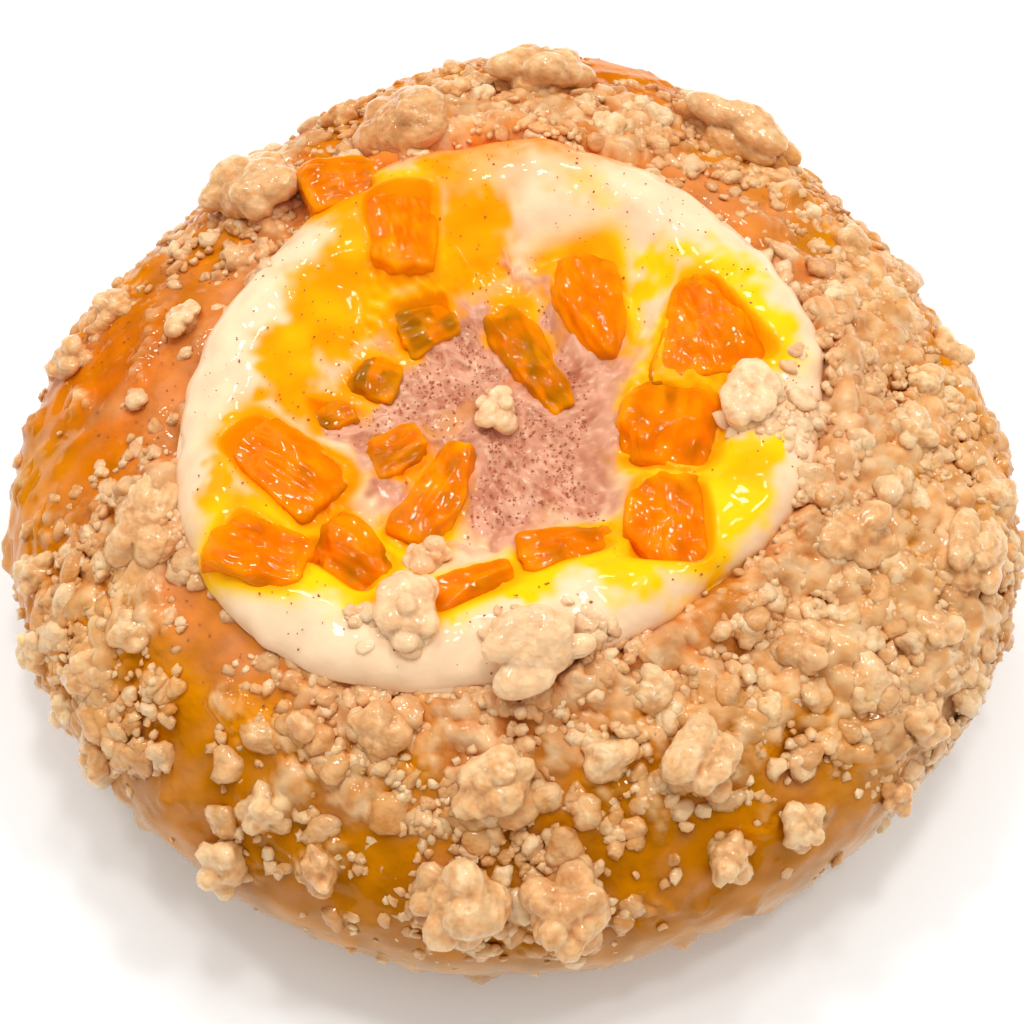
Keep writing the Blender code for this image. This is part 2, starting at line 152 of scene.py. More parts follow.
# Where the pink syrup with its specks of spice lies in the middle: x, y and reach
SYRUP_POOLS = (
    (-3.4, 2.8, 3.6), (-6.2, 5.4, 3.2), (0.7, -5.7, 4.8), (4.7, -9.3, 4.6), (8.6, -4.5, 3.4),
    (-1.3, -12.8, 4.0), (7.0, 4.6, 2.6), (9.6, 1.6, 3.0), (-4.4, -6.9, 3.6), (-8.6, 0.3, 3.8),
    (-12.1, -2.2, 3.2), (7.7, -12.8, 3.4), (-16.6, -5.0, 2.4), (-0.3, -16.6, 3.0), (-4.6, 9.6, 2.6),
    (-14.4, -8.7, 2.6), (3.6, 8.4, 2.2), (-11.4, -13.6, 2.6), (4.0, 0.0, 4.4),
)

# Threads of pale glaze drawn out between the fruit: points that each runs through
GLAZE_THREADS = (
    ((-1.4, 16.1), (1.8, 14.3), (3.7, 11.0), (6.0, 7.8), (9.1, 4.3)),
    ((3.7, 15.2), (5.0, 12.3), (7.5, 6.5), (9.5, 0.8), (10.6, -2.8)),
    ((12.2, 4.7), (10.5, 0.6), (8.9, -3.7), (9.9, -9.7)),
    ((-15.5, -6.1), (-11.5, -4.3), (-7.4, -5.5), (-4.4, -6.1)),
    ((-7.1, -18.5), (-3.2, -18.4), (0.7, -16.9), (4.6, -15.7)),
)

# How thickly fine crumbs lie on the dough: x, y, reach and amount, below 0 where the dough is bare
CRUMB_DRIFTS = (
    (42, -8, 14, 1.0), (36, 10, 9, 0.8), (44, -24, 10, 0.9), (34, -22, 9, 0.9), (30, -32, 7, 0.5),
    (0, -36, 7, 0.55), (12, -34, 7, 0.7), (24, -25, 5, 0.6), (32, -12, 5, 0.6), (34, 4, 5, 0.6),
    (-14, -38, 8, 0.6), (-42, -22, 8, 0.7), (-36, -16, 6, 0.7),
    (-42, -32, 6, 0.35), (12, 37, 8, 0.8), (-4, 40, 8, 0.5), (-28, 28, 7, 0.6),
    (30, 30, 6, 0.35), (42, 22, 6, 0.5), (36, -2, 8, 0.9), (22, -36, 7, 0.5), (38, -34, 6, 0.35),
    (-46, 14, 5, 0.4), (0, 31, 9, 0.5), (-38, -33, 6, 0.7), (-24, -34, 6, 0.3), (-20, -46, 4, 0.25),
    (14, 46, 6, -0.6), (-42, 4, 6, -0.3), (-32, -34, 6, -0.35), (22, 28, 5, -0.4), (30, -46, 7, -0.3),
)

# Where a thick wrinkled film of glaze lies on the dough: x, y, reach and strength
WET_GLAZE = (
    (-34.5, -26.8, 4, 1.0), (-34.6, -5.5, 5, 1.0), (-0.3, -35.1, 4, 1.0), (1.6, -38.0, 3, 0.8),
    (17.8, -25.8, 4, 1.0), (21.4, -28.9, 4, 1.0), (19.7, 29.8, 4, 0.8), (24.9, 25.6, 4, 0.8),
    (30.0, 20.0, 4, 0.6), (-4.0, -34.1, 4, 0.8), (-21.3, -40.0, 3, 0.6), (9.9, -34.1, 4, 0.8),
    (-36, -10, 4, 0.8), (32, 8, 6, 0.6), (36, -12, 6, 0.5), (14, 45, 5, 0.6),
)

# Where the crust and its crumbs are heaped against the ring of cream: x, y, reach and strength
BANKS = (
    (33, 2, 11, 1.0), (31, -14, 10, 1.0), (22, -27, 10, 1.0), (8, -33, 7, 0.8),
    (24, 24, 9, 0.6), (2, 33, 9, 1.0), (-14, 31, 7, 0.9), (-34, -14, 5, 0.6),
)
BANK_HEIGHT = 2.2
BANK_RADIUS = 34.0
BANK_WIDTH = 2.6

# Where fine crumbs lie on the ring of cream: x, y and reach
RING_DRIFTS = (
    (-12.4, -27.6, 2.4), (-9.8, -29.6, 2.2), (0.0, -29.0, 2.6), (4.0, -30.6, 3.0), (8.0, -29.8, 2.8),
    (25.0, -4.4, 3.0), (27.6, -7.6, 2.4), (29.6, 2.0, 1.8), (30.6, -5.6, 2.2), (29.4, -13.0, 2.6),
    (27.2, -20.4, 2.6), (22.8, -26.0, 3.0), (16.8, -30.4, 2.8), (11.6, -32.6, 2.6),
    (-9.4, 30.4, 1.6), (-30.6, 9.6, 1.6), (-27.2, 14.4, 1.4),
)

# Where the crust is redder, more golden, milky with glaze, pale, or wet with juice: x, y, reach, strength
RED_PATCHES = ((-40, 0, 16, 0.9), (-30, 30, 14, 0.6), (8, 46, 16, 0.6))
GOLD_PATCHES = ((-51, -5, 7, 1.0), (-32, -36, 9, 0.8))
GLAZED_PATCHES = ((26, 30, 12, 0.8), (36, 4, 14, 0.8))
PALE_PATCHES = ((45, -32, 11, 1.0), (-44, -38, 7, 0.6))
JUICY_PATCHES = ((-4.5, 32, 4, 0.8), (-10, 32, 4, 0.9), (-19, 30, 4, 0.9), (2, 32, 3, 0.7))

# Where juice has run over the far edge of the cream: x, y, reach and strength
FAR_EDGE_JUICE = ((-4, 31, 5, 1.0), (-11, 31, 4, 1.0), (3, 31.5, 4, 1.0), (9, 30.5, 4, 0.7))

# Small lamps, whose reflections are the glints in the wet glaze: places in metres
LAMPS = (
    (-0.22, 0.18, 0.62), (0.20, 0.26, 0.60), (0.04, 0.08, 0.66), (-0.06, 0.36, 0.58), (0.30, 0.05, 0.60),
)

# Colours as they look in daylight
CREAM_WHITE = "f7d5b0"
JUICE_YELLOW = "fda300"
JUICE_BRIGHT = "ffca10"
JUICE_AMBER = "fa8c00"
SYRUP_PINK = "c07a5c"
SYRUP_PALE = "e2ab8e"
SYRUP_AMBER = "d08a46"
RIPE_ORANGE = "f68000"
FRUIT_SHADE = "e86c00"
OLIVE_GOLD = "ac7004"
CRUMB_BUTTER = "e3b482"
CRUMB_TOASTED = "d09662"
CRUMB_FLOURY = "edcea4"
DOUGH_GOLD = "d68800"
DOUGH_RED = "d2680c"
# Brown of the crust, also used as painted shade on the near slope
DOUGH_BROWN_AND_SHADE = "b47200"
DOUGH_GLAZED = "d68648"
DOUGH_PALE = "d2ae86"
SPICE_BROWN = "b86a48"
TABLE_WHITE = "fbfbfb"


def linear(code):
    """A colour from its sRGB hex code, as linear red, green, blue and alpha."""
    parts = np.array([int(code[i:i + 2], 16) for i in (0, 2, 4)]) / 255
    low, high = parts / 12.92, ((parts + 0.055) / 1.055) ** 2.4
    return np.append(np.where(parts <= 0.04045, low, high), 1.0)


def blend(first, second, share):
    """Row by row from the first colour to the second."""
    share = np.clip(np.asarray(share), 0, 1)[:, None]
    return first * (1 - share) + second * share


def smooth(low, high, value):
    """0 below low, 1 above high, and an even S between them."""
    share = np.clip((value - low) / (high - low), 0, 1)
    return share * share * (3 - 2 * share)


def ripple(points, size, seed, waves=28):
    """Soft noise from -1 to 1: the mean of sine waves of about this length, run in scattered directions."""
    draw = np.random.default_rng(seed)
    ways = draw.normal(size=(waves, 3))
    ways /= np.linalg.norm(ways, axis=1)[:, None]
    pitch = 2 * np.pi / (size * draw.uniform(0.7, 1.5, waves))
    phase = points @ (ways * pitch[:, None]).T + draw.uniform(0, 2 * np.pi, waves)
    return np.sin(phase).sum(axis=1) / np.sqrt(waves) * 1.1


def cells(points, size, seed):
    """Distance to the nearest of points that are scattered one to a cube of this size, in cube sizes."""
    base = np.floor(points / size)
    nearest = np.full(len(points), 9.0)
    # Unlike factors, so that the sines jump from cube to cube and come out the same each time
    key = np.array([[127.1, 311.7, 74.7], [269.5, 183.3, 246.1], [113.5, 271.9, 124.6]]) + seed
    for step in itertools.product((-1, 0, 1), repeat=3):
        corner = base + step
        jitter = np.sin(corner @ key) * 43758.5453 % 1.0
        nearest = np.minimum(nearest, np.linalg.norm(points / size - corner - jitter, axis=1))
    return nearest


def grains(points, size, seed):
    """Round grains half sunk in the surface, about one to a cube of this size: 1 on top, 0 at the foot."""
    return np.sqrt(np.clip(1 - (cells(points, size, seed) / 0.62) ** 2, 0, 1))


def spread(x, y, blobs):
    """How far the blobs cover each place, from 0 to 1: each fades from its middle as a bell curve."""
    bare = np.ones_like(x)
    for bx, by, reach, strength in blobs:
        bare *= 1 - strength * np.exp(-((x - bx) ** 2 + (y - by) ** 2) / reach**2)
    return 1 - bare


def lobes(table, angle):
    """Sum of the cosine waves in the table round the middle: how many, how high, and where the first is."""
    return sum(swell * np.cos(count * (angle - np.radians(first))) for count, swell, first in table)


def dome_level(share):
    """Level of the dome at this share of the way from its middle to the widest rim."""
    rest = 1 - np.clip(share, 0, 1) ** DOME_POWER
    return WIDEST_LEVEL + (CROWN_LEVEL - WIDEST_LEVEL) * rest ** (1 / DOME_POWER)


def cream_level(radius):
    """Level of the cream: a flat pool, an even S up to the bead, and a quarter ellipse down its outside."""
    across = np.clip((radius - BEAD_LINE_RADIUS) / BEAD_HALF_WIDTH, 0, 1)
    outside = BEAD_TOP - BEAD_RISE + BEAD_RISE * np.sqrt(1 - across**2)
    inside = POOL_LEVEL + (BEAD_TOP - POOL_LEVEL) * smooth(15.5, BEAD_LINE_RADIUS, radius)
    return np.where(radius < BEAD_LINE_RADIUS, inside, outside)


def settle(radius, level, angle):
    """x and y of a point of the even form: the rim swells in lobes, and the well is off centre."""
    outer = np.where(level < WIDEST_LEVEL * 1.001, 1.0, smooth(LIP_RADIUS * 0.9, BUN_RADIUS, radius))
    swell = outer * lobes(BUN_LOBES, angle) / BUN_RADIUS
    swell = swell + (1 - outer) * lobes(RING_LOBES, angle) / LIP_RADIUS
    grown = radius * (1 + swell)
    return (
        grown * np.cos(angle) + (1 - outer) * WELL_CENTRE[0],
        grown * np.sin(angle) + (1 - outer) * WELL_CENTRE[1],
    )


def unsettle(x, y):
    """Radius and angle on the even form of a place on the real top, found by repeated correction."""
    even_x, even_y = x, y
    for _ in range(14):
        radius, angle = np.hypot(even_x, even_y), np.arctan2(even_y, even_x)
        real_x, real_y = settle(radius, CROWN_LEVEL, angle)
        even_x, even_y = even_x + x - real_x, even_y + y - real_y
    return np.hypot(even_x, even_y), np.arctan2(even_y, even_x)


def bank_rise(x, y):
    """How far the crust is heaped against the ring of cream: a bell curve across the ring's outer edge."""
    radius, _ = unsettle(x, y)
    return BANK_HEIGHT * spread(x, y, BANKS) * np.exp(-(((radius - BANK_RADIUS) / BANK_WIDTH) ** 2))


def top_level(x, y):
    """Level of the pastry's top: the cream inside the ring's outer edge, and the dough outside it."""
    radius, _ = unsettle(x, y)
    edge = BEAD_LINE_RADIUS + BEAD_HALF_WIDTH
    return np.where(radius < edge, cream_level(radius), dome_level(radius / BUN_RADIUS))


def resting(x, y):
    """Points on the top and the outward directions there, from the slopes along x and y."""
    x, y = np.asarray(x, float), np.asarray(y, float)
    step = 0.6
    radius, _ = unsettle(x, y)
    pull = np.minimum(1.0, 0.985 * BUN_RADIUS / radius)
    x, y = x * pull, y * pull
    level = top_level(x, y)
    slope_x = (top_level(x + step, y) - top_level(x - step, y)) / (2 * step)
    slope_y = (top_level(x, y + step) - top_level(x, y - step)) / (2 * step)
    away = np.stack([-slope_x, -slope_y, np.ones_like(x)], axis=-1)
    away /= np.linalg.norm(away, axis=-1, keepdims=True)
    return np.stack([x, y, level], axis=-1), away


def ring_faces(rows, around):
    """Triangles of a closed form: a pole, rows of points that each go round, and the other pole."""
    j = np.arange(around)
    k = (j + 1) % around
    first = np.stack([np.zeros_like(j), 1 + j, 1 + k], axis=1)
    last = 1 + (rows - 1) * around
    end = np.stack([np.full_like(j, 1 + rows * around), last + k, last + j], axis=1)
    i = np.arange(rows - 1)[:, None] * around + 1
    a, b, c, d = (i + j).ravel(), (i + around + j).ravel(), (i + around + k).ravel(), (i + k).ravel()
    return np.concatenate([first, np.stack([a, b, c], 1), np.stack([a, c, d], 1), end])


def ring_points(top, rows, bottom):
    """The points of a closed form in the order that ring_faces names them."""
    return np.concatenate([np.reshape(top, (1, 3)), rows.reshape(-1, 3), np.reshape(bottom, (1, 3))])


def row_normals(rows):
    """Outward directions of a grid of rows that go round: the cross product of its two slopes."""
    down = np.gradient(rows, axis=0)
    along = (np.roll(rows, -1, axis=1) - np.roll(rows, 1, axis=1)) / 2
    away = np.cross(down, along)
    return away / np.maximum(np.linalg.norm(away, axis=2, keepdims=True), 1e-9)


def ball_ways(rows, around):
    """Directions over a ball, row by row from its top to its bottom, with both poles."""
    fall = np.pi * np.arange(1, rows + 1) / (rows + 1)
    turn = 2 * np.pi * np.arange(around) / around
    fall, turn = np.meshgrid(fall, turn, indexing="ij")
    ways = np.stack([np.sin(fall) * np.cos(turn), np.sin(fall) * np.sin(turn), np.cos(fall)], axis=-1)
    return ring_points((0, 0, 1), ways, (0, 0, -1)), ring_faces(rows, around)


def make_piece(name, points, faces, look, tint=None):
    """A shaded mesh object at the origin that rides on the pastry, with a colour stored on its points."""
    mesh = bpy.data.meshes.new(name)
    mesh.from_pydata(points * MM, [], faces)
    mesh.polygons.foreach_set("use_smooth", np.ones(len(faces), dtype=bool))
    if tint is not None:
        colours = mesh.attributes.new("tint", "FLOAT_COLOR", "POINT")
        colours.data.foreach_set("color", np.asarray(tint, dtype=np.float32).ravel())
    mesh.materials.append(look)
    piece = bpy.data.objects.new(name, mesh)
    bpy.context.scene.collection.objects.link(piece)
    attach(piece, "root")
    return piece


def joined_faces(faces, count, each):
    """The faces of many forms alike, put end to end: each form has this many points."""
    return (faces[None] + np.arange(count)[:, None, None] * each).reshape(-1, 3)


def make_joined(name, all_points, faces, look, all_tints):
    """One piece of many forms on the same faces, with their points and tints put end to end."""
    joined = joined_faces(faces, len(all_points), len(all_points[0]))
    return make_piece(name, np.concatenate(all_points), joined, look, np.concatenate(all_tints))


def around_chunks(x, y):
    """Distance to the closest chunk's side seen from above, and the cream's least and most level there."""
    nearest, low, high = np.full_like(x, 99.0), np.full_like(x, -99.0), np.full_like(x, 99.0)
    for cx, cy, length, width, _, turn, _, taper, top, _ in FRUIT_CHUNKS:
        cos, sin = math.cos(math.radians(turn)), math.sin(math.radians(turn))
        along, across = (x - cx) * cos + (y - cy) * sin, (y - cy) * cos - (x - cx) * sin
        half = width / 2 * (1 - taper * np.clip(2 * along / length, -1, 1))
        size = (np.abs(2 * along / length) ** 6 + np.abs(across / half) ** 6) ** (1 / 6)
        gap = (size - 1) * min(length, width) / 2
        nearest = np.minimum(nearest, gap)
        low = np.maximum(low, top - 1.5 - 0.8 * np.maximum(gap + 0.4, 0))
        high = np.minimum(high, top - 2.2 + 2.2 * np.maximum(gap + 1.0, 0))
    return nearest, low, high


def thread_share(x, y, width):
    """1 on the threads of glaze, falling off on both sides as a bell curve of this width."""
    away = np.full_like(x, 99.0)
    for thread in GLAZE_THREADS:
        for (ax, ay), (bx, by) in zip(thread, thread[1:]):
            run_x, run_y = bx - ax, by - ay
            share = ((x - ax) * run_x + (y - ay) * run_y) / (run_x**2 + run_y**2)
            share = np.clip(share, 0, 1)
            away = np.minimum(away, np.hypot(x - ax - share * run_x, y - ay - share * run_y))
    return np.exp(-((away / width) ** 2))


def dough_tint(points):
    """Colour of the crust: gold, redder on the left and far top, browner in front as painted shade, paler
    low down.
    """
    x, y, z = points.T
    cloud = ripple(points, 9, 3) * 0.5 + ripple(points, 3.2, 4) * 0.3
    colour = blend(linear(DOUGH_GOLD), linear(DOUGH_RED), spread(x, y, RED_PATCHES) + 0.3 * cloud)
    colour = blend(colour, linear(DOUGH_GOLD), 0.9 * spread(x, y, GOLD_PATCHES))
    # Painted shade: the near slope is darkened towards brown as if lit from behind; the clouds of brown are
    # the crust's own tone
    near = smooth(-30, -47, y) * smooth(6, 15, z)
    colour = blend(colour, linear(DOUGH_BROWN_AND_SHADE), 0.85 * near + 0.3 * cloud)
    radius, _ = unsettle(x, y)
    glazed = np.exp(-((radius - 35) / 4.5) ** 2) * 0.9 + 0.35 * spread(x, y, GLAZED_PATCHES)
    colour = blend(colour, linear(DOUGH_GLAZED), glazed + 0.35 * cloud)
    pale = smooth(19, 9, z) * 0.8 + 0.9 * spread(x, y, PALE_PATCHES)
    colour = blend(colour, linear(DOUGH_PALE), pale + 0.15 * cloud)
    return blend(colour, linear(JUICE_AMBER), spread(x, y, JUICY_PATCHES) * smooth(29, 31, z))


def make_dough(look):
    """The bun's crust: its half section turned in rings, settled, and moved outwards by its relief."""
    around = 660
    turn = 2 * np.pi * np.arange(around) / around
    lip = LIP_RADIUS / BUN_RADIUS
    wall = np.radians([0, 15, 30, 46, 62, 76])
    dome = np.linspace(math.acos(lip ** (DOME_POWER / 2)), 0, 92)
    side = np.radians(np.linspace(3, 90, 30))
    foot = BUN_RADIUS * FOOT_SHARE
    dome_radius = BUN_RADIUS * np.cos(dome) ** (2 / DOME_POWER)
    radius = np.concatenate([
        [6, 14, 20],
        WELL_FLOOR_RADIUS + (LIP_RADIUS - WELL_FLOOR_RADIUS) * np.sin(wall) ** 0.9,
        dome_radius,
        foot + (BUN_RADIUS - foot) * np.cos(side),
        [36, 24, 10],
    ])
    level = np.concatenate([
        [WELL_FLOOR] * 3,
        dome_level(lip) - (dome_level(lip) - WELL_FLOOR) * np.cos(wall) ** 0.8,
        dome_level(dome_radius / BUN_RADIUS),
        WIDEST_LEVEL * (1 - np.sin(side)),
        [0, 0, 0],
    ])
    radius, angle = np.meshgrid(radius, turn, indexing="ij")
    level = np.broadcast_to(level[:, None], radius.shape)
    x, y = settle(radius, level, angle)
    rows = np.stack([x, y, level], axis=-1)
    flat = rows.reshape(-1, 3)
    # Grains of three sizes under the glaze, where the crumbs have drifted
    drift = np.clip(spread(flat[:, 0], flat[:, 1], CRUMB_DRIFTS), 0, 1) * smooth(13, 22, flat[:, 2])
    cloudy = drift + 0.25 * ripple(flat, 6, 13)
    crusted = smooth(0.15, 0.6, cloudy)
    coarse = smooth(0.4, 0.75, cloudy) * 1.5 * grains(flat, 3.0, 5)
    medium = smooth(0.25, 0.6, cloudy) * 1.1 * grains(flat, 2.0, 12)
    small = smooth(0.1, 0.45, cloudy) * 0.7 * grains(flat, 1.4, 19)
    granule = np.maximum(np.maximum(coarse, medium), small)
    # Slow swells, the bank against the ring, the grains, and sharp folds in the wettest glaze
    wet = spread(flat[:, 0], flat[:, 1], WET_GLAZE)
    fold = (1 - np.abs(ripple(flat, 4.5, 15, 60))) ** 3 + 0.5 * (1 - np.abs(ripple(flat, 1.9, 17, 60))) ** 3
    relief = 0.22 * ripple(flat, 11, 1) + 0.10 * ripple(flat, 4, 2)
    relief += bank_rise(flat[:, 0], flat[:, 1])
    relief += 0.3 * crusted + granule + 0.3 * wet * fold
    shown = smooth(31.0, 33.5, radius.ravel()) * smooth(0.2, 5, flat[:, 2])
    flat = flat + row_normals(rows).reshape(-1, 3) * (relief * shown)[:, None]
    top, bottom = (*WELL_CENTRE, WELL_FLOOR), (0, 0, 0)
    points = ring_points(top, flat.reshape(rows.shape), bottom)
    tint = dough_tint(points)
    covered = np.concatenate([[0], smooth(0.2, 0.8, granule), [0]])
    crumbs = crumb_tint(points, 0.45 + 0.3 * ripple(points, 2.6, 20), 14)
    tint = blend(tint, crumbs, 0.75 * covered)
    piece = make_piece("dough", points, ring_faces(len(rows), around), look, tint)
    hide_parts("bun")


def make_cream(look):
    """The cream: its pool, the bead that winds a little as it was piped, and its hidden underside."""
    around = 620
    turn = 2 * np.pi * np.arange(around) / around
    pool = np.linspace(0.6, BEAD_LINE_RADIUS, 84)
    bead = np.radians(np.linspace(4, 88, 34))
    wall = np.radians([76, 46, 15, 0])
    edge = LIP_RADIUS + 0.9
    radius = np.concatenate([
        pool,
        BEAD_LINE_RADIUS + BEAD_HALF_WIDTH * np.sin(bead),
        [edge],
        WELL_FLOOR_RADIUS + (LIP_RADIUS - WELL_FLOOR_RADIUS) * np.sin(wall) ** 0.9 - 0.8 * GAP,
        [12],
    ])
    lip_level = dome_level(LIP_RADIUS / BUN_RADIUS)
    level = np.concatenate([
        cream_level(pool),
        BEAD_TOP - BEAD_RISE + BEAD_RISE * np.cos(bead),
        [dome_level(edge / BUN_RADIUS) + GAP],
        lip_level - (lip_level - WELL_FLOOR) * np.cos(wall) ** 0.8 + GAP,
        [WELL_FLOOR + GAP],
    ])
    crest = np.concatenate([smooth(14, 24, pool), np.ones(len(bead)), np.zeros(6)])
    radius, angle = np.meshgrid(radius, turn, indexing="ij")
    level = np.broadcast_to(level[:, None], radius.shape)
    x, y = settle(radius, level, angle)
    rows = np.stack([x, y, level], axis=-1)
    seen = np.zeros(radius.shape)
    seen[: len(pool) + len(bead) - 2] = 1
    seen = seen.ravel()
    crest = np.broadcast_to(crest[:, None], radius.shape).ravel()
    flat = rows.reshape(-1, 3)
    warp = flat[:, :2] + np.stack([ripple(flat, 5, 21), ripple(flat, 5, 22)], 1) * 0.9
    warp += np.stack([ripple(flat, 1.8, 23), ripple(flat, 1.8, 24)], 1) * 0.35
    wx, wy = warp.T
    juice = spread(wx, wy, JUICE_RUNS)
    syrup = spread(wx, wy, [(sx, sy, reach, 0.9) for sx, sy, reach in SYRUP_POOLS])
    thread = thread_share(wx, wy, 0.5)
    gap, low, high = around_chunks(flat[:, 0], flat[:, 1])
    wrinkle = np.clip(1 - np.abs(ripple(np.column_stack([warp, flat[:, 2]]), 3.2, 9, 60)), 0, 1) ** 3
    fleck = ripple(flat, 1.4, 10, 60)
    relief = crest * (0.30 * ripple(flat, 14, 6) + 0.14 * ripple(flat, 5, 7))
    relief += (1 - crest) * 0.16 * ripple(flat, 3, 8)
    grit = 0.22 * wrinkle + 0.12 * fleck + 0.06 * ripple(flat, 0.8, 26, 60)
    relief += smooth(0.4, 0.8, syrup) * grit + 0.6 * thread
    flat = flat + row_normals(rows).reshape(-1, 3) * (relief * seen)[:, None]
    low = low + 0.12 * fleck - 8 * smooth(BEAD_LINE_RADIUS + 1.5, BEAD_LINE_RADIUS + 4, radius.ravel())
    flat[:, 2] = np.where(seen > 0, np.minimum(np.maximum(flat[:, 2], low), high), flat[:, 2])
    juice = np.maximum(juice, np.exp(-np.clip(gap, 0, None) / 1.3) * (1 - 0.8 * syrup))
    inner = smooth(18, 11, np.hypot(wx - WELL_CENTRE[0], wy - WELL_CENTRE[1]))
    far_edge = spread(wx, wy, FAR_EDGE_JUICE)
    colour = blend(linear(CREAM_WHITE), linear(SYRUP_AMBER), 0.9 * inner)
    bright = smooth(0, 16, wx) + smooth(-12, -20, wy)
    yellow = blend(linear(JUICE_YELLOW), linear(JUICE_BRIGHT), bright + 0.3 * ripple(flat, 7, 18))
    colour = blend(colour, yellow, smooth(0.12, 0.72, juice))
    colour = blend(colour, linear(JUICE_AMBER), np.maximum(smooth(0.8, -0.2, gap) * 0.5, far_edge))
    # The pink is paler along the wrinkles: partly a pale glaze web, partly painted highlight on their
    # crests; the flecks and clouds are the syrup's own tone
    paler = 0.5 + 0.35 * wrinkle + 0.10 * fleck + 0.25 * ripple(flat, 4, 16)
    pink = blend(linear(SYRUP_PINK), linear(SYRUP_PALE), paler)
    colour = blend(colour, pink, smooth(0.35, 0.75, syrup) * (1 - 0.75 * smooth(0.5, 0.95, juice)))
    colour = blend(colour, linear(SYRUP_PALE), 0.8 * thread)
    # Painted glints: pale flecks on the syrup that stand in for its sparkle
    painted_sparkle = smooth(0.5, 1.3, ripple(flat, 0.9, 27, 60)) * smooth(0.5, 0.8, syrup)
    colour = blend(colour, linear(CREAM_WHITE), 0.35 * painted_sparkle)
    top, bottom = (*WELL_CENTRE, POOL_LEVEL), (*WELL_CENTRE, WELL_FLOOR + GAP)
    points = ring_points(top, flat.reshape(rows.shape), bottom)
    tint = np.concatenate([colour[:1], colour, colour[:1]])
    piece = make_piece("cream_ring", points, ring_faces(len(rows), around), look, tint)
    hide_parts("cream")


def flat_cuts(ways, draw):
    """How far a unit cube reaches in each direction once planes have cut its corners and its top."""
    limit = np.full(len(ways), 9.0)
    for _ in range(5):
        normal = draw.choice([-1, 1], 3) * draw.uniform(0.2, 1.0, 3)
        facing = ways @ (normal / np.linalg.norm(normal))
        limit = np.minimum(limit, draw.uniform(1.02, 1.2) / np.maximum(facing, 0.1))
    for _ in range(3):
        normal = np.append(draw.uniform(-0.4, 0.4, 2), 1.0)
        facing = ways @ (normal / np.linalg.norm(normal))
        limit = np.minimum(limit, draw.uniform(0.84, 0.96) / np.maximum(facing, 0.1))
    return limit


def make_fruit(look):
    """Diced fruit: balls squared off by a power mean, tapered, grooved along their fibres, and tilted."""
    ways, faces = ball_ways(56, 88)
    square = (np.abs(ways) ** 11).sum(axis=1) ** (1 / 11)
    all_points, all_tints = [], []
    for index, row in enumerate(FRUIT_CHUNKS):
        x, y, length, width, thick, turn, tilt, taper, top, ripe = row
        half = np.array([length, width, thick]) / 2
        cuts = flat_cuts(ways, np.random.default_rng(300 + index))
        cube = ways * ((square**22 + cuts**-22) ** (-1 / 22))[:, None]
        block = cube * half
        block[:, 1] *= 1 - taper * cube[:, 0]
        seed = 40 + index * 7
        grain = block * (0.35, 1.0, 1.0)
        shift = 0.22 * ripple(block, 6, seed) + 0.07 * ripple(block, 2.2, seed + 1)
        shift += 0.08 * ripple(grain, 1.0, seed + 2)
        away = cube / np.linalg.norm(cube, axis=1)[:, None]
        block = block + away * shift[:, None]
        cos, sin = math.cos(math.radians(tilt)), math.sin(math.radians(tilt))
        tilted = np.array([[1, 0, 0], [0, cos, -sin], [0, sin, cos]])
        cos, sin = math.cos(math.radians(turn)), math.sin(math.radians(turn))
        turned = np.array([[cos, -sin, 0], [sin, cos, 0], [0, 0, 1]])
        placed = block @ (turned @ tilted).T + (x, y, top - thick / 2)
        rim = smooth(0.72, 1.0, np.abs(cube[:, :2]).max(axis=1)) * smooth(0.2, 0.8, cube[:, 2])
        shade = ripe + 0.18 * ripple(block, 4, seed + 3) + 0.10 * ripple(grain, 1.3, seed + 4)
        colour = blend(linear(OLIVE_GOLD), linear(RIPE_ORANGE), shade)
        streak = smooth(0.2, 1.2, ripple(grain, 3.4, seed + 7))
        colour = blend(colour, linear(FRUIT_SHADE), 0.35 * streak * ripe)
        colour = blend(colour, linear(JUICE_AMBER), 0.7 * smooth(0.0, 1.0, ripple(block, 3.4, seed + 5)))
        fibre = smooth(0.5, 1.3, ripple(grain, 2.6, seed + 6))
        colour = blend(colour, linear(JUICE_YELLOW), 0.45 * rim + 0.3 * fibre)
        all_points.append(placed)
        all_tints.append(colour)
    piece = make_joined("diced_fruit", all_points, faces, look, all_tints)
    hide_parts(*[f"fruit_{i:02d}" for i in range(1, len(FRUIT_CHUNKS) + 1)])


def grain_cluster(rng, count):
    """Centres and radii of the round grains that make one crumble, in a ball of about unit radius."""
    grains = [((0.0, 0.0, 0.0), 0.62)]
    for _ in range(count):
        way = Vector((rng.uniform(-1, 1), rng.uniform(-1, 1), rng.uniform(-0.7, 1))).normalized()
        grains.append((tuple(way * rng.uniform(0.46, 0.70)), rng.uniform(0.22, 0.40)))
    return grains


def reach(ways, grains, softness=14):
    """How far a cluster's skin lies from its middle in each direction: a soft maximum over its grains."""
    centres = np.array([centre for centre, _ in grains])
    radii = np.array([radius for _, radius in grains])
    along = ways @ centres.T
    inside = radii**2 - (centres**2).sum(axis=1) + along**2
    far = np.where(inside > 0, along + np.sqrt(np.maximum(inside, 0)), 0)
    return (far**softness).sum(axis=1) ** (1 / softness)


def crumble_form(ways, grains, size, seed, bumps):
    """A crumb: the cluster's skin scaled to its size, then roughened by smaller round grains."""
    form = ways * reach(ways, grains)[:, None]
    low, high = form.min(axis=0), form.max(axis=0)
    form = ((form - low) / (high - low) - 0.5) * size
    relief = bumps * (0.5 - cells(form, 1.3, seed)) + 0.35 * bumps * ripple(form, 0.8, seed)
    return form + ways * relief[:, None]


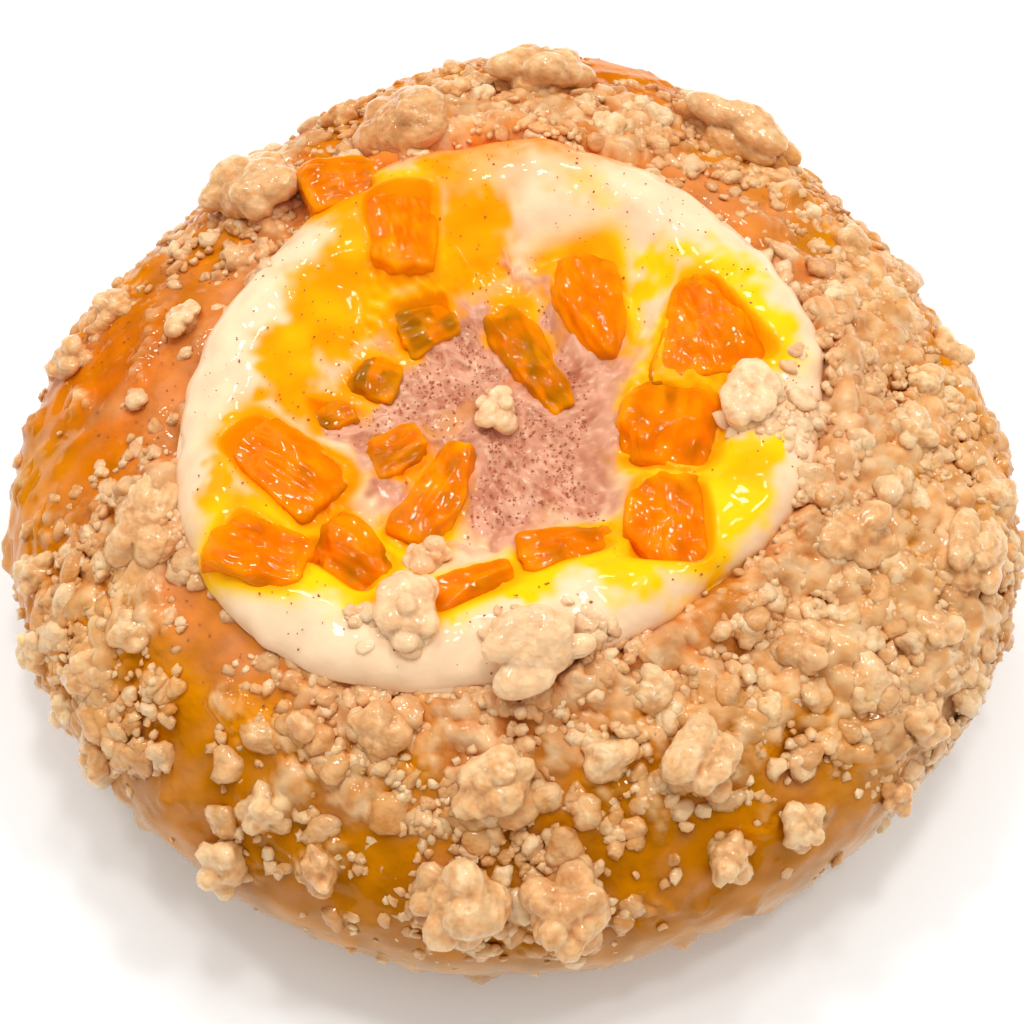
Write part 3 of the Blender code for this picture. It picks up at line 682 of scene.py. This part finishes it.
def standing(away, turn):
    """Three axes for each piece: its third along away, the first two turned about it by this angle."""
    third = away / np.linalg.norm(away, axis=-1, keepdims=True)
    side = np.cross(np.array([0.0, 1.0, 0.0]), third)
    side /= np.linalg.norm(side, axis=-1, keepdims=True)
    up = np.cross(third, side)
    cos, sin = np.cos(turn)[..., None], np.sin(turn)[..., None]
    return np.stack([side * cos + up * sin, up * cos - side * sin, third], axis=-1)


def bedded(x, y, turn, sunk):
    """Middle and axes of a crumb on the top: it leans partly upright, and is raised by sunk."""
    spot, away = resting(np.array([x]), np.array([y]))
    upright = away * 0.75 + np.array([0, 0, 0.25])
    upright /= np.linalg.norm(upright)
    axes = standing(upright, np.array([turn]))[0]
    return spot[0] + upright[0] * sunk, axes


def pit_shade(form, size):
    """1 in the pits between a crumb's grains and 0 on their tops, from the distance to its middle: where
    painted shade darkens the pits.
    """
    return smooth(0.96, 0.70, np.linalg.norm(2 * form / size, axis=-1))


def crumb_tint(points, tone, seed):
    """Colour of streusel: creamy at tone 0, butter yellow at 0.5 and toasted at 1, in soft clouds."""
    tone = tone + ripple(points, 1.8, seed) * 0.14 + ripple(points, 0.7, seed + 1) * 0.10
    colour = blend(linear(CRUMB_FLOURY), linear(CRUMB_BUTTER), 2 * tone)
    return blend(colour, linear(CRUMB_TOASTED), 2 * tone - 1)


def under_tint(points):
    """Colour of what a crumb lies on: the crust outside the ring, and cream or pink syrup inside it."""
    radius, _ = unsettle(points[:, 0], points[:, 1])
    inside = blend(linear(SYRUP_PALE), linear(CREAM_WHITE), smooth(12, 19, radius))
    return blend(inside, dough_tint(points), smooth(31.5, 33.5, radius))


def soak_and_contact_shade(points, colour, height):
    """Crumb colour that turns towards what it lies on near height 0: glaze that soaks into its foot, and
    partly painted contact shade.
    """
    return blend(colour, under_tint(points), 0.5 * smooth(0.4, 0.02, height))


def make_big_crumbles(look):
    ways, faces = ball_ways(44, 64)
    all_points, all_tints = [], []
    for index, (x, y, length, width, height, turn, tone) in enumerate(BIG_CRUMBLES, 1):
        size = (length, width, height)
        rng = random.Random(SEED * 100 + index)
        on_cream = math.hypot(x - WELL_CENTRE[0], y - WELL_CENTRE[1]) < LIP_RADIUS + 2
        bumps = 0.1 if on_cream else 0.2
        form = crumble_form(ways, grain_cluster(rng, 17), size, 60 + index, bumps)
        middle, axes = bedded(x, y, math.radians(turn), height * CRUMBLE_SUNK)
        placed = form @ axes.T + middle
        all_points.append(placed)
        # Painted shade: the pits between the grains are pushed towards toasted
        tint = crumb_tint(placed, tone - 0.2 + 0.25 * pit_shade(form, size), index)
        if on_cream:
            tint = 0.6 * tint + 0.4 * np.array(linear(CREAM_WHITE))
        # The foot turns towards what lies below: glaze soaking in, and partly painted contact shade
        all_tints.append(soak_and_contact_shade(placed, tint, form[:, 2] / height + CRUMBLE_SUNK))
    piece = make_joined("large_crumbles", all_points, faces, look, all_tints)
    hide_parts(*[f"crumble_{i:02d}" for i in range(1, len(BIG_CRUMBLES) + 1)])


def make_baked_crumbles(look):
    ways, faces = ball_ways(20, 30)
    all_points, all_tints = [], []
    for index, (x, y, length) in enumerate(BAKED_CRUMBLES):
        size = (length, length * 0.86, length * 0.72)
        draw = np.random.default_rng(500 + index)
        rng = random.Random(7000 + index)
        form = crumble_form(ways, grain_cluster(rng, 12), size, 90 + index, 0.22)
        middle, axes = bedded(x, y, draw.uniform(0, 2 * np.pi), length * BAKED_SUNK)
        placed = form @ axes.T + middle
        all_points.append(placed)
        # Painted shade: the pits between the grains are pushed towards toasted
        tint = crumb_tint(placed, draw.uniform(0.1, 0.6) + 0.25 * pit_shade(form, size), index + 30)
        # The foot turns towards what lies below: glaze soaking in, and partly painted contact shade
        all_tints.append(soak_and_contact_shade(placed, tint, form[:, 2] / length + BAKED_SUNK))
    piece = make_joined("small_crumbles", all_points, faces, look, all_tints)


def dough_places(count, draw):
    """Even places over the dough from the ring's edge to below the rim: points and outward directions."""
    lip = math.acos((LIP_RADIUS * 1.03 / BUN_RADIUS) ** (DOME_POWER / 2))
    fine = np.linspace(0, 1, 400)
    dome = BUN_RADIUS * np.cos(lip * (1 - fine)) ** (2 / DOME_POWER)
    foot = BUN_RADIUS * FOOT_SHARE
    low = np.radians(40) * fine[1:]
    radius = np.concatenate([dome, foot + (BUN_RADIUS - foot) * np.cos(low)])
    level = np.concatenate([dome_level(dome / BUN_RADIUS), WIDEST_LEVEL * (1 - np.sin(low))])
    length = np.concatenate([[0], np.cumsum(np.hypot(np.diff(radius), np.diff(level)))])
    weight = np.concatenate([[0], np.cumsum(np.diff(length) * (radius[1:] + radius[:-1]))])
    along = np.interp(draw.uniform(0, weight[-1], count), weight, length)
    return along, draw.uniform(0, 2 * np.pi, count), (radius, level, length)


def on_dough(along, angle, table):
    """Points and outward directions on the settled dough at these distances along its half section."""
    radius, level, length = table

    def point(distance, turn):
        r, z = np.interp(distance, length, radius), np.interp(distance, length, level)
        return np.stack([*settle(r, z, turn), z], axis=-1)

    spot = point(along, angle)
    down = point(along + 0.4, angle) - point(along - 0.4, angle)
    round_it = point(along, angle + 0.01) - point(along, angle - 0.01)
    away = np.cross(down, round_it)
    away /= np.linalg.norm(away, axis=-1, keepdims=True)
    crusted = smooth(0.25, 0.6, spread(spot[:, 0], spot[:, 1], CRUMB_DRIFTS)) * smooth(13, 22, spot[:, 2])
    return spot + away * (bank_rise(spot[:, 0], spot[:, 1]) + 0.7 * crusted)[:, None], away


def crumb_forms(rows, around, seed):
    """A few unlike crumb shapes of unit size on the same directions, to be repeated."""
    ways, faces = ball_ways(rows, around)
    forms = []
    for variant in range(16):
        skin = ways * reach(ways, grain_cluster(random.Random(seed + variant), 9), 8)[:, None]
        forms.append(skin / (skin.max(axis=0) - skin.min(axis=0)))
    return np.array(forms), faces


def scatter(name, look, spots, away, sizes, rows, around, seed, rise):
    """One mesh of many crumbs: turned, stretched copies of a few forms, raised by a share of their size."""
    draw = np.random.default_rng(seed)
    forms, faces = crumb_forms(rows, around, seed)
    count = len(spots)
    chosen = forms[draw.integers(0, len(forms), count)]
    stretch = sizes[:, None, None] * draw.uniform(0.75, 1.25, (count, 1, 3)) * (1.0, 1.0, CRUMB_FLATNESS)
    axes = standing(away + draw.normal(size=(count, 3)) * 0.25, draw.uniform(0, 2 * np.pi, count))
    middle = spots + away * (sizes * rise)[:, None]
    placed = np.einsum("nij,nkj->nki", axes, chosen * stretch) + middle[:, None, :]
    flat = placed.reshape(-1, 3)
    each = chosen.shape[1]
    # Painted shade: the pits between the grains are pushed towards toasted
    tone = np.repeat(draw.uniform(-0.1, 0.75, count), each) + 0.12 * pit_shade(chosen, 1).ravel()
    height = (chosen * stretch)[:, :, 2] / sizes[:, None] + rise
    # The foot turns towards what lies below: glaze soaking in, and partly painted contact shade
    tint = soak_and_contact_shade(flat, crumb_tint(flat, tone, seed), height.ravel())
    piece = make_piece(name, flat, joined_faces(faces, count, each), look, tint)


def make_fine_crumbs(look):
    """Crumbs in drifts over the dough: clusters where the drifts are thick, and fewer between them."""
    draw = np.random.default_rng(SEED)
    along, angle, table = dough_places(DOUGH_TRIES, draw)
    spot, away = on_dough(along, angle, table)
    heaps = tuple((x, y, 0.7 * length, 0.7) for x, y, length, *_ in BIG_CRUMBLES)
    thick = spread(spot[:, 0], spot[:, 1], CRUMB_DRIFTS + heaps) * smooth(12, 21, spot[:, 2])
    clump = 0.5 + 0.5 * ripple(spot, 5, 31)
    chance = np.clip(thick * (0.25 + 1.1 * clump), 0.008, 1)
    kept = draw.uniform(0, 1, len(spot)) < chance
    spot, away = spot[kept], away[kept]
    first = 0
    for name, count, least, most, rows, around, seed, rise in CRUMB_SIZES:
        here, out = spot[first:first + count], away[first:first + count]
        sizes = draw.uniform(least, most, len(here))
        scatter(name, look, here, out, sizes, rows, around, seed, rise)
        first += count


def make_ring_crumbs(look):
    """Crumbs on the cream, where the drifts over the ring are."""
    draw = np.random.default_rng(SEED + 1)
    x, y = draw.uniform(-38, 38, (2, RING_TRIES))
    thick = spread(x, y, [(cx, cy, reach, 0.9) for cx, cy, reach in RING_DRIFTS])
    kept = draw.uniform(0, 1, len(x)) < thick**2
    spot, away = resting(x[kept], y[kept])
    sizes = draw.uniform(0.9, 2.8, len(spot))
    scatter("ring_crumbs", look, spot, away, sizes, 7, 12, 400, -0.12)


def make_spice(look):
    """Specks of ground spice: flat flakes pressed on the syrup, fewer on the cream and dough."""
    draw = np.random.default_rng(77)
    angle = draw.uniform(0, 2 * np.pi, SPICE_TRIES)
    radius = 46 * np.sqrt(draw.uniform(0, 1, SPICE_TRIES))
    x, y = radius * np.cos(angle), radius * np.sin(angle)
    syrup = spread(x, y, [(sx, sy, reach, 0.9) for sx, sy, reach in SYRUP_POOLS])
    gap, _, _ = around_chunks(x, y)
    kept = (draw.uniform(0, 1, SPICE_TRIES) < 0.05 + 0.9 * syrup**2) & (gap > 0.4)
    spot, away = resting(x[kept], y[kept])
    sizes = draw.uniform(0.16, 0.36, len(spot)) * draw.uniform(0.6, 1.2, len(spot))
    ways, faces = ball_ways(2, 6)
    axes = standing(away + draw.normal(size=away.shape) * 0.2, draw.uniform(0, 2 * np.pi, len(spot)))
    shapes = ways * (0.5, 0.36, 0.12) * sizes[:, None, None]
    placed = np.einsum("nij,nkj->nki", axes, shapes) + (spot + away * 0.16)[:, None, :]
    flakes = joined_faces(faces, len(spot), len(ways))
    piece = make_piece("ground_spice", placed.reshape(-1, 3), flakes, look)


def add(tree, kind, inputs=None, **settings):
    """Adds a shader node with its settings, and fills each input with a value or another node's output."""
    node = tree.nodes.new(kind)
    for name, value in settings.items():
        setattr(node, name, value)
    for name, value in (inputs or {}).items():
        if isinstance(value, bpy.types.NodeSocket):
            tree.links.new(value, node.inputs[name])
        else:
            node.inputs[name].default_value = value
    return node


def new_look(name, **constants):
    """A material with its shader, whose constants go straight on the shader's own sockets."""
    look = bpy.data.materials.new(name)
    look.use_nodes = True
    shader = look.node_tree.nodes["Principled BSDF"]
    for socket, value in constants.items():
        shader.inputs[socket.replace("_", " ")].default_value = value
    return look, look.node_tree, shader


def tinted(tree, shader, scale, low, high):
    """Base colour: the tint stored on the points, darkened and lightened by noise of this scale."""
    place = add(tree, "ShaderNodeTexCoord")
    tint = add(tree, "ShaderNodeAttribute", attribute_name="tint")
    noise = add(tree, "ShaderNodeTexNoise", {
        "Vector": place.outputs["Object"], "Scale": scale, "Detail": 1.0, "Roughness": 0.6,
    })
    shade = add(tree, "ShaderNodeMapRange", {
        "Value": noise.outputs["Fac"], "From Min": 0.3, "From Max": 0.7, "To Min": low, "To Max": high,
    })
    mixed = add(tree, "ShaderNodeVectorMath", {
        0: tint.outputs["Color"], "Scale": shade.outputs["Result"],
    }, operation="SCALE")
    tree.links.new(mixed.outputs["Vector"], shader.inputs["Base Color"])
    return place


def bumped(tree, shader, place, socket, scale, height, strength, noise_type="FBM"):
    """Bump of one of the shader's normals by noise: its scale per metre, height in metres and strength."""
    noise = add(tree, "ShaderNodeTexNoise", {
        "Vector": place.outputs["Object"], "Scale": scale, "Detail": 1.5,
    }, noise_type=noise_type)
    bump = add(tree, "ShaderNodeBump", {
        "Height": noise.outputs["Fac"], "Distance": height, "Strength": strength,
    })
    tree.links.new(bump.outputs["Normal"], shader.inputs[socket])


def dough_look():
    # Yeast dough, egg-washed, baked and brushed with syrup: a satin crust under a thin wet coat
    look, tree, shader = new_look(
        "glazed_yeast_dough", Roughness=0.45, IOR=1.36, Specular_IOR_Level=0.05,
        Coat_Weight=0.7, Coat_Roughness=0.05, Coat_IOR=1.45,
    )
    place = tinted(tree, shader, 260, 0.82, 1.12)
    bumped(tree, shader, place, "Normal", 900, 0.0004, 0.6)
    bumped(tree, shader, place, "Coat Normal", 500, 0.0002, 1.0, "RIDGED_MULTIFRACTAL")
    return look


def cream_look():
    # Set custard cream: dense and milky, smooth from the piping bag, wet where juice lies on it
    look, tree, shader = new_look(
        "custard_cream", Roughness=0.45, IOR=1.36, Specular_IOR_Level=0.1,
        Coat_Weight=0.5, Coat_Roughness=0.05, Coat_IOR=1.4,
    )
    place = tinted(tree, shader, 320, 0.93, 1.05)
    bumped(tree, shader, place, "Normal", 700, 0.0002, 0.5)
    bumped(tree, shader, place, "Coat Normal", 500, 0.00015, 1.0, "RIDGED_MULTIFRACTAL")
    return look


def fruit_look():
    # Canned peach flesh, diced: wet and half clear, so light glows through its edges
    look, tree, shader = new_look(
        "diced_peach", Roughness=0.50, IOR=1.33, Specular_IOR_Level=0.05,
        Coat_Weight=0.7, Coat_Roughness=0.04, Coat_IOR=1.4,
        Subsurface_Weight=0.35, Subsurface_Radius=(1.0, 0.45, 0.08), Subsurface_Scale=0.003,
    )
    place = tinted(tree, shader, 340, 0.85, 1.12)
    bumped(tree, shader, place, "Normal", 800, 0.0003, 0.5)
    bumped(tree, shader, place, "Coat Normal", 600, 0.0002, 1.0, "RIDGED_MULTIFRACTAL")
    return look


def crumble_look(name, clear):
    # Butter streusel under glaze: grainy, with damp glints, and clear with fat where the lumps are large
    look, tree, shader = new_look(
        name, Roughness=0.55, IOR=1.36, Specular_IOR_Level=0.1,
        Coat_Weight=1.0, Coat_Roughness=0.06, Coat_IOR=1.4,
        Subsurface_Weight=clear, Subsurface_Radius=(1.0, 0.8, 0.6), Subsurface_Scale=0.001,
    )
    place = tinted(tree, shader, 700, 0.9, 1.1)
    bumped(tree, shader, place, "Normal", 1500, 0.0004, 0.6)
    bumped(tree, shader, place, "Coat Normal", 900, 0.0002, 1.0, "RIDGED_MULTIFRACTAL")
    return look


def spice_look():
    # Ground cinnamon, damp with syrup
    look, tree, shader = new_look("ground_cinnamon", Base_Color=linear(SPICE_BROWN), Roughness=0.6)
    place = add(tree, "ShaderNodeTexCoord")
    bumped(tree, shader, place, "Normal", 3000, 0.0002, 0.5)
    return look


def make_floor():
    """A plain pale table, wide enough that its edge lies far off."""
    bpy.ops.mesh.primitive_plane_add(size=6, location=(0, 0, 0))
    floor = bpy.context.object
    floor.name = "floor"
    look, _, _ = new_look("white_table", Base_Color=linear(TABLE_WHITE), Roughness=0.7)
    floor.data.materials.append(look)


def make_camera():
    """The photo's view: 59 degrees above the table, 0.2 m from the middle of the bun."""
    rise, distance, middle = math.radians(59), 0.2, 0.014
    data = bpy.data.cameras.new("camera")
    data.lens, data.sensor_width = 63.8, 36
    data.shift_x, data.shift_y = -0.001, -0.0464
    data.clip_start = 0.01
    camera = bpy.data.objects.new("camera", data)
    camera.location = (0, -distance * math.cos(rise), middle + distance * math.sin(rise))
    camera.rotation_euler = (math.pi / 2 - rise, 0, 0)
    bpy.context.scene.collection.objects.link(camera)
    bpy.context.scene.camera = camera


def soft_light(name, place, target, size, power, colour):
    """A round area light of this size in metres and power in watts, turned towards its target."""
    data = bpy.data.lights.new(name, "AREA")
    data.shape, data.size, data.energy, data.color = "DISK", size, power, colour
    light = bpy.data.objects.new(name, data)
    light.location = place
    light.rotation_euler = (Vector(target) - Vector(place)).to_track_quat("-Z", "Y").to_euler()
    bpy.context.scene.collection.objects.link(light)


def make_light():
    """Daylight from a window behind and to the left, a few lamps above, and a bright room round it."""
    middle = (0, 0, 0.02)
    soft_light("window", (-0.28, 0.42, 0.55), middle, 0.42, 0.32, (1.0, 0.99, 0.97))
    soft_light("ceiling", (0.10, 0.25, 0.75), middle, 0.6, 0.2, (1.0, 1.0, 1.0))
    for index, place in enumerate(LAMPS):
        soft_light(f"lamp_{index}", place, middle, 0.075, 0.40, (1.0, 1.0, 1.0))
    world = bpy.data.worlds.new("bright_room")
    world.use_nodes = True
    bpy.context.scene.world = world
    sky = world.node_tree.nodes["Background"]
    sky.inputs["Color"].default_value = (1.0, 0.99, 0.975, 1)
    sky.inputs["Strength"].default_value = 0.66
    # The room lights everything evenly, but only the lamps and the window show in wet surfaces
    world.cycles_visibility.glossy = False
    bpy.context.scene.view_settings.view_transform = "Standard"
    bpy.context.scene.view_settings.look = "Medium High Contrast"


make_camera()
make_light()
make_floor()
streusel = crumble_look("butter_streusel", 0.6)
crumbs = crumble_look("fine_butter_streusel", 0.0)
make_dough(dough_look())
make_cream(cream_look())
make_fruit(fruit_look())
make_big_crumbles(streusel)
make_baked_crumbles(streusel)
make_fine_crumbs(crumbs)
make_ring_crumbs(crumbs)
make_spice(spice_look())
